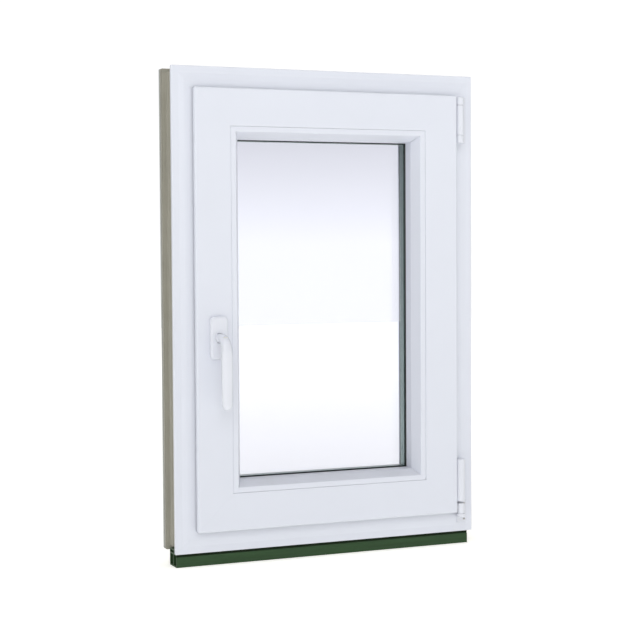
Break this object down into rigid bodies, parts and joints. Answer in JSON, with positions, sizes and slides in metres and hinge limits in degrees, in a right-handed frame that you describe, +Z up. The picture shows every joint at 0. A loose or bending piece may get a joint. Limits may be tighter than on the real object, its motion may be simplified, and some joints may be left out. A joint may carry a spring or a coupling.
{
  "type": "tilt and turn window",
  "caption": "White plastic framed window whose double-glazed sash turns on side hinges or tilts inwards at the top, with a lever handle and locking gear.",
  "frame": {"origin": "middle of the frame's depth and width, on the underside of the base profile", "axes": "+X towards the hinge side, +Y from the room to outdoors, +Z up; the room side of the window faces -Y"},
  "size_m": [0.6, 0.143, 0.894],
  "materials": {
    "white_pvc": "smooth white rigid PVC, soft satin gloss",
    "white_cover": "moulded white plastic caps",
    "white_lacquer": "white powder coat on cast metal, glossy",
    "galvanised_steel": "galvanised",
    "gear_steel": "zinc plated, silver",
    "zinc_casting": "plain die casting",
    "seal_rubber": "black soft seal",
    "packer_plastic": "matt",
    "green_plastic": "dark green recycled plastic, matt",
    "clear_glass": "clear float glass with a faint green edge",
    "spacer_metal": "grey spacer bar"
  },
  "bodies": {
    "frame": {"frame_bottom": "white_pvc", "frame_left": "white_pvc", "frame_top": "white_pvc", "frame_right": "white_pvc", "frame_steel_bars": "galvanised_steel", "frame_rebate_gasket": "seal_rubber", "base_profile": "green_plastic", "drain_caps": "white_pvc", "side_strikers": "gear_steel", "top_striker": "gear_steel", "tilt_striker": "gear_steel", "striker_screws": "gear_steel", "upper_hinge_bracket": "gear_steel", "upper_hinge_pin": "gear_steel", "upper_hinge_covers": "white_cover", "lower_hinge_bracket": "gear_steel", "hinge_screws": "gear_steel"},
    "hinge_carrier": {"lower_pivot_post": "gear_steel"},
    "stay": {"stay_arm": "gear_steel", "stay_stud": "gear_steel", "stay_knuckle_cover": "white_cover"},
    "sash": {"sash_bottom": "white_pvc", "sash_left": "white_pvc", "sash_top": "white_pvc", "sash_right": "white_pvc", "sash_steel_bars": "galvanised_steel", "sash_overlap_gasket": "seal_rubber", "bead_bottom": "white_pvc", "bead_left": "white_pvc", "bead_top": "white_pvc", "bead_right": "white_pvc", "room_pane": "clear_glass", "outdoor_pane": "clear_glass", "spacer_frame": "spacer_metal", "edge_seal": "seal_rubber", "bead_gasket": "seal_rubber", "outdoor_glazing_gasket": "seal_rubber", "setting_blocks": "packer_plastic", "gearbox_case": "gear_steel", "side_face_plate": "gear_steel", "top_face_plate": "gear_steel", "bottom_face_plate": "gear_steel", "corner_drives": "gear_steel", "lower_hinge_band": "gear_steel", "lower_hinge_cover": "white_cover", "rosette_base": "zinc_casting", "rosette_cover": "white_cover", "rosette_screws": "gear_steel"},
    "handle": {"handle_lever": "white_lacquer", "handle_spindle": "gear_steel", "pinion": "gear_steel"},
    "side_rod": {"side_drive_rod": "gear_steel", "side_locking_cams": "gear_steel"},
    "top_rod": {"top_drive_rod": "gear_steel", "top_locking_cam": "gear_steel"},
    "bottom_rod": {"bottom_drive_rod": "gear_steel", "tilt_cam": "gear_steel"}
  },
  "joints": [
    {"name": "turn", "type": "hinge", "parent": "frame", "child": "hinge_carrier", "pos_m": [0.27, -0.047, 0.072], "axis": [0, 0, 1], "range_deg": [0, 95]},
    {"name": "tilt", "type": "hinge", "parent": "hinge_carrier", "child": "sash", "pos_m": [0.27, -0.047, 0.072], "axis": [1, 0, 0], "range_deg": [0, 8]},
    {"name": "stay_swing", "type": "hinge", "parent": "hinge_carrier", "child": "stay", "pos_m": [0.27, -0.047, 0.814], "axis": [0, 0, 1], "range_deg": [0, 20]},
    {"name": "handle_turn", "type": "hinge", "parent": "sash", "child": "handle", "pos_m": [-0.221, -0.038, 0.411], "axis": [0, -1, 0], "range_deg": [0, 180]},
    {"name": "side_rod_slide", "type": "slide", "parent": "sash", "child": "side_rod", "axis": [0, 0, -1], "range_m": [0, 0.036]},
    {"name": "top_rod_slide", "type": "slide", "parent": "sash", "child": "top_rod", "axis": [-1, 0, 0], "range_m": [0, 0.036]},
    {"name": "bottom_rod_slide", "type": "slide", "parent": "sash", "child": "bottom_rod", "axis": [1, 0, 0], "range_m": [0, 0.036]}
  ],
  "couplings": [
    {"joint": "stay_swing", "follows": "tilt", "ratio": 2.325},
    {"joint": "side_rod_slide", "follows": "handle_turn", "m_per_rad": 0.011459},
    {"joint": "top_rod_slide", "follows": "handle_turn", "m_per_rad": 0.011459},
    {"joint": "bottom_rod_slide", "follows": "handle_turn", "m_per_rad": 0.011459}
  ]
}
